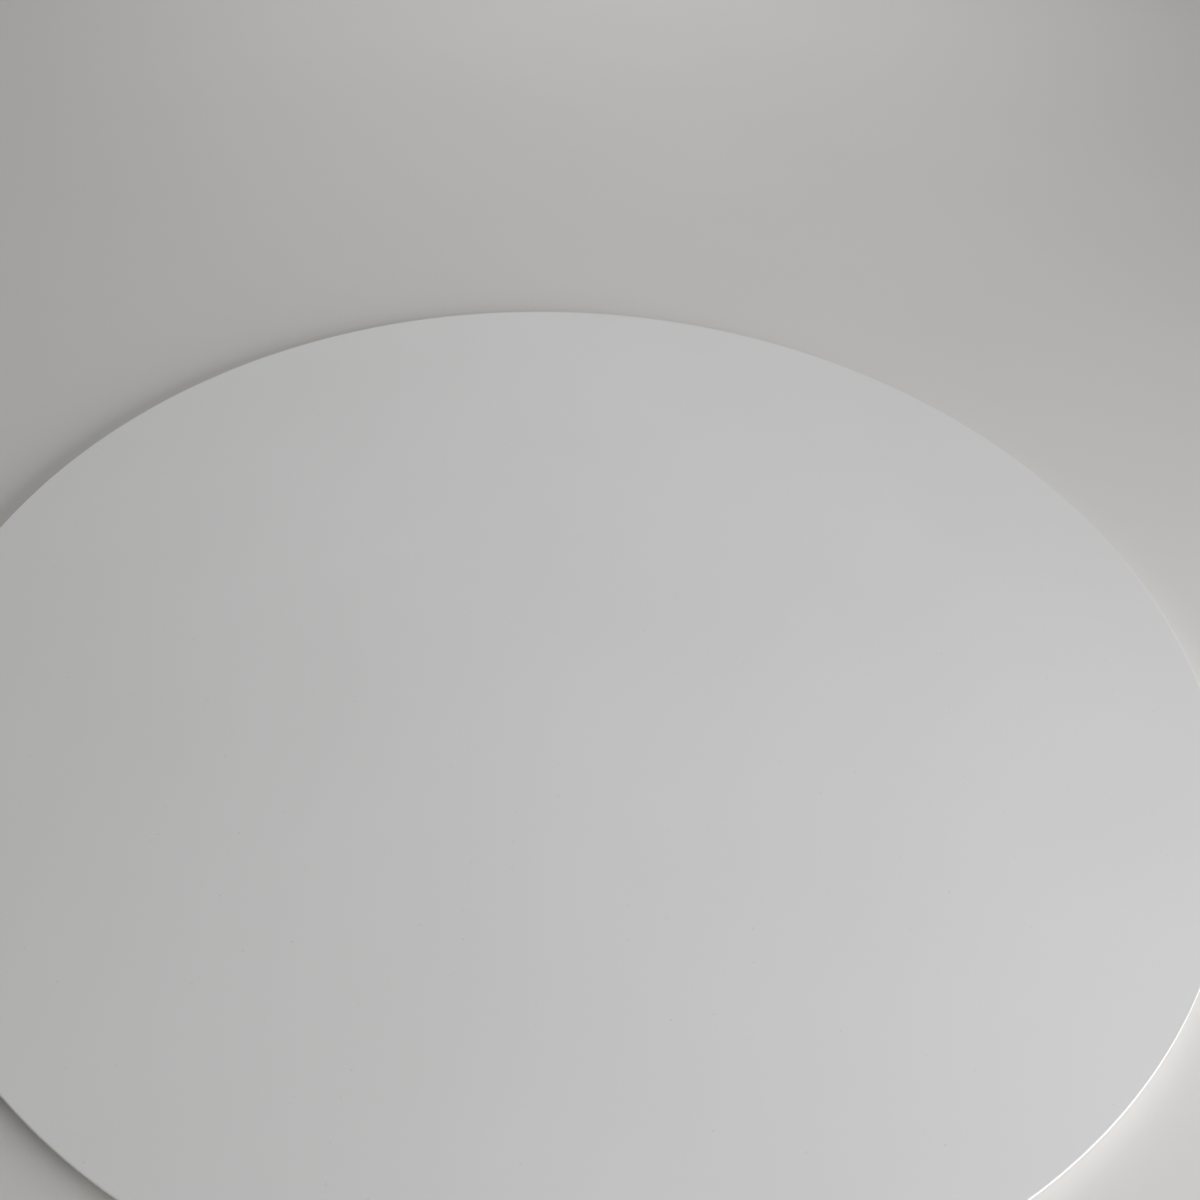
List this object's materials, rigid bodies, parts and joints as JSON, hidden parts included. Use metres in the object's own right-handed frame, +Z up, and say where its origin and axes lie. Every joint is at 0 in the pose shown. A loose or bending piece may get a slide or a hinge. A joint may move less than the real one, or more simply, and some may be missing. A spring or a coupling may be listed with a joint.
{
  "type": "lazy susan turntable",
  "caption": "Low-profile round white lazy susan: a thin satin platter turning on a ball ring over a pressed steel base with low silicone feet.",
  "frame": {"origin": "centre of the spin axis at the level of the surface that the feet stand on", "axes": "+Z up along the spin axis; +X through the first ball at rest"},
  "size_m": [0.6, 0.6, 0.01],
  "materials": {
    "satin_white": "satin, very fine texture",
    "grey_powder_coat": "fine powder coat",
    "zinc_plated_steel": "zinc plated",
    "ball_steel": "polished",
    "natural_nylon": "moulded, slightly translucent",
    "grey_silicone": "matte"
  },
  "bodies": {
    "base": {"base_plate": "grey_powder_coat", "lower_race": "zinc_plated_steel", "pivot_bush": "natural_nylon", "pivot_washer": "zinc_plated_steel", "foot_1": "grey_silicone", "foot_2": "grey_silicone", "foot_3": "grey_silicone", "foot_4": "grey_silicone", "foot_5": "grey_silicone", "foot_6": "grey_silicone", "foot_7": "grey_silicone", "foot_8": "grey_silicone"},
    "platter": {"platter": "satin_white", "upper_race": "zinc_plated_steel", "hub_plate": "zinc_plated_steel", "pivot_nut": "zinc_plated_steel", "pivot_screw": "zinc_plated_steel", "hub_screw_1": "zinc_plated_steel", "hub_screw_2": "zinc_plated_steel", "hub_screw_3": "zinc_plated_steel", "hub_screw_4": "zinc_plated_steel"},
    "ball_cage": {"ball_cage": "natural_nylon", "ball_01": "ball_steel", "ball_02": "ball_steel", "ball_03": "ball_steel", "ball_04": "ball_steel", "ball_05": "ball_steel", "ball_06": "ball_steel", "ball_07": "ball_steel", "ball_08": "ball_steel", "ball_09": "ball_steel", "ball_10": "ball_steel", "ball_11": "ball_steel", "ball_12": "ball_steel", "ball_13": "ball_steel", "ball_14": "ball_steel", "ball_15": "ball_steel", "ball_16": "ball_steel", "ball_17": "ball_steel", "ball_18": "ball_steel", "ball_19": "ball_steel", "ball_20": "ball_steel", "ball_21": "ball_steel", "ball_22": "ball_steel", "ball_23": "ball_steel", "ball_24": "ball_steel"}
  },
  "joints": [
    {"name": "platter_spin", "type": "hinge", "parent": "base", "child": "platter", "pos_m": [0, 0, 0.0046], "axis": [0, 0, 1], "continuous": true},
    {"name": "cage_spin", "type": "hinge", "parent": "base", "child": "ball_cage", "pos_m": [0, 0, 0.0046], "axis": [0, 0, 1], "continuous": true}
  ],
  "couplings": [
    {"joint": "cage_spin", "follows": "platter_spin", "ratio": 0.5}
  ]
}
